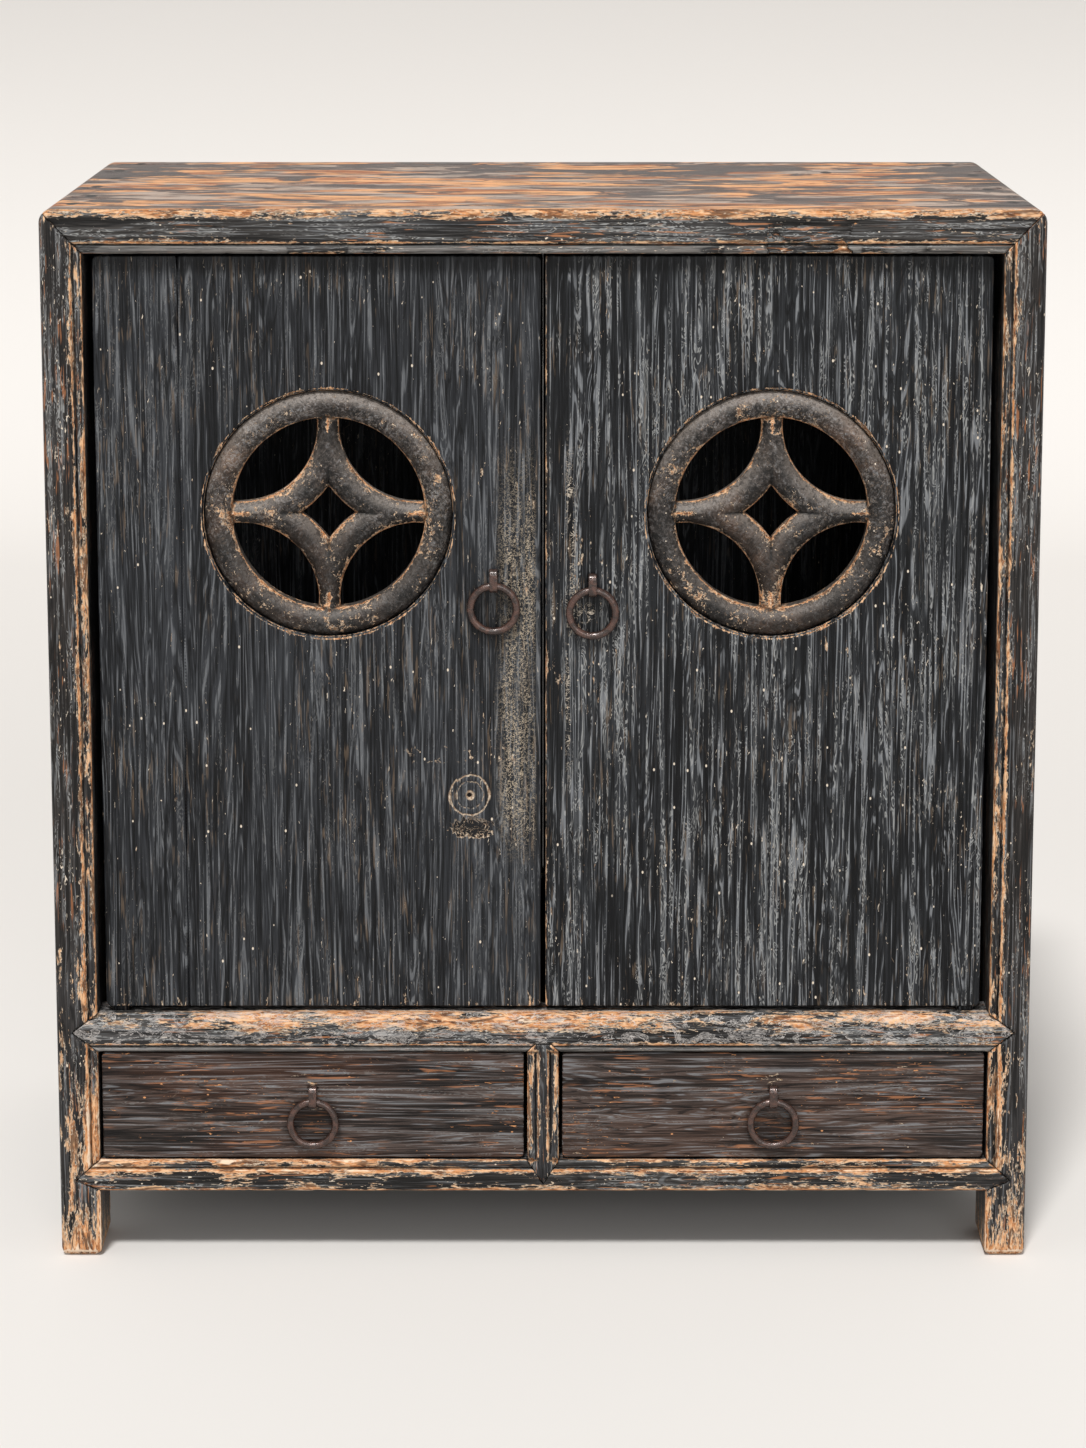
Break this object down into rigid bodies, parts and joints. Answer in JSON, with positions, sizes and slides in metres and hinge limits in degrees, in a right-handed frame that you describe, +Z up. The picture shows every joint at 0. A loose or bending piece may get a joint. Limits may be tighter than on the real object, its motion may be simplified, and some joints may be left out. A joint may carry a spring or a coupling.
{
  "type": "kang cabinet",
  "caption": "Low black-lacquered wooden cabinet with pivoted doors pierced by carved coin roundels, drawers below, ring pulls and a mitred, beaded frame on short feet.",
  "frame": {"origin": "on the floor, under the middle of the cabinet", "axes": "+Z up, the doors and drawers face -Y, +X to the right as seen from the front"},
  "size_m": [0.86, 0.5291, 0.935],
  "materials": {
    "black_lacquer": "worn black lacquer with bare orange-brown arrises",
    "drawer_lacquer": "worn brown-black lacquer",
    "bare_wood": "unfinished aged softwood",
    "iron": "wrought iron with brown rust patina"
  },
  "bodies": {
    "carcass": {"front_left_post": "black_lacquer", "front_right_post": "black_lacquer", "rear_left_post": "black_lacquer", "rear_right_post": "black_lacquer", "top_front_rail": "black_lacquer", "top_rear_rail": "black_lacquer", "mid_front_rail": "black_lacquer", "bottom_front_rail": "black_lacquer", "drawer_divider": "black_lacquer", "left_bottom_rail": "black_lacquer", "left_mid_rail": "black_lacquer", "left_top_rail": "black_lacquer", "right_bottom_rail": "black_lacquer", "right_mid_rail": "black_lacquer", "right_top_rail": "black_lacquer", "bottom_rear_rail": "bare_wood", "mid_rear_rail": "bare_wood", "front_top_board": "black_lacquer", "rear_top_board": "black_lacquer", "top_board_nails": "iron", "left_lower_panel": "black_lacquer", "right_lower_panel": "black_lacquer", "left_upper_panel": "black_lacquer", "right_upper_panel": "black_lacquer", "left_back_board": "bare_wood", "right_back_board": "bare_wood", "lower_back_board": "bare_wood", "compartment_floor": "bare_wood", "left_drawer_runner": "bare_wood", "right_drawer_runner": "bare_wood", "centre_drawer_runner": "bare_wood"},
    "left_door": {"left_door_board": "black_lacquer", "left_door_hinge_strip": "black_lacquer", "left_roundel": "black_lacquer", "left_door_upper_batten": "bare_wood", "left_door_lower_batten": "bare_wood", "left_door_pull_strap": "iron"},
    "right_door": {"right_door_board": "black_lacquer", "right_roundel": "black_lacquer", "right_door_upper_batten": "bare_wood", "right_door_lower_batten": "bare_wood", "right_door_pull_strap": "iron"},
    "left_drawer": {"left_drawer_front": "drawer_lacquer", "left_drawer_outer_side": "bare_wood", "left_drawer_inner_side": "bare_wood", "left_drawer_back": "bare_wood", "left_drawer_bottom": "bare_wood", "left_drawer_pull_strap": "iron"},
    "right_drawer": {"right_drawer_front": "drawer_lacquer", "right_drawer_outer_side": "bare_wood", "right_drawer_inner_side": "bare_wood", "right_drawer_back": "bare_wood", "right_drawer_bottom": "bare_wood", "right_drawer_pull_strap": "iron"},
    "left_door_ring": {"left_door_pull_ring": "iron"},
    "right_door_ring": {"right_door_pull_ring": "iron"},
    "left_drawer_ring": {"left_drawer_pull_ring": "iron"},
    "right_drawer_ring": {"right_drawer_pull_ring": "iron"}
  },
  "joints": [
    {"name": "left_door_hinge", "type": "hinge", "parent": "carcass", "child": "left_door", "pos_m": [-0.3745, -0.236, 0.56], "axis": [0, 0, -1], "range_deg": [0, 100]},
    {"name": "right_door_hinge", "type": "hinge", "parent": "carcass", "child": "right_door", "pos_m": [0.3745, -0.236, 0.56], "axis": [0, 0, 1], "range_deg": [0, 100]},
    {"name": "left_drawer_slide", "type": "slide", "parent": "carcass", "child": "left_drawer", "axis": [0, -1, 0], "range_m": [0, 0.3]},
    {"name": "right_drawer_slide", "type": "slide", "parent": "carcass", "child": "right_drawer", "axis": [0, -1, 0], "range_m": [0, 0.3]},
    {"name": "left_door_ring_hinge", "type": "hinge", "parent": "left_door", "child": "left_door_ring", "pos_m": [-0.043, -0.2545, 0.608], "axis": [-1, 0, 0], "range_deg": [-4, 150]},
    {"name": "right_door_ring_hinge", "type": "hinge", "parent": "right_door", "child": "right_door_ring", "pos_m": [0.043, -0.2545, 0.604], "axis": [-1, 0, 0], "range_deg": [-4, 150]},
    {"name": "left_drawer_ring_hinge", "type": "hinge", "parent": "left_drawer", "child": "left_drawer_ring", "pos_m": [-0.204, -0.2635, 0.1447], "axis": [-1, 0, 0], "range_deg": [-4, 150]},
    {"name": "right_drawer_ring_hinge", "type": "hinge", "parent": "right_drawer", "child": "right_drawer_ring", "pos_m": [0.204, -0.2635, 0.1447], "axis": [-1, 0, 0], "range_deg": [-4, 150]}
  ]
}
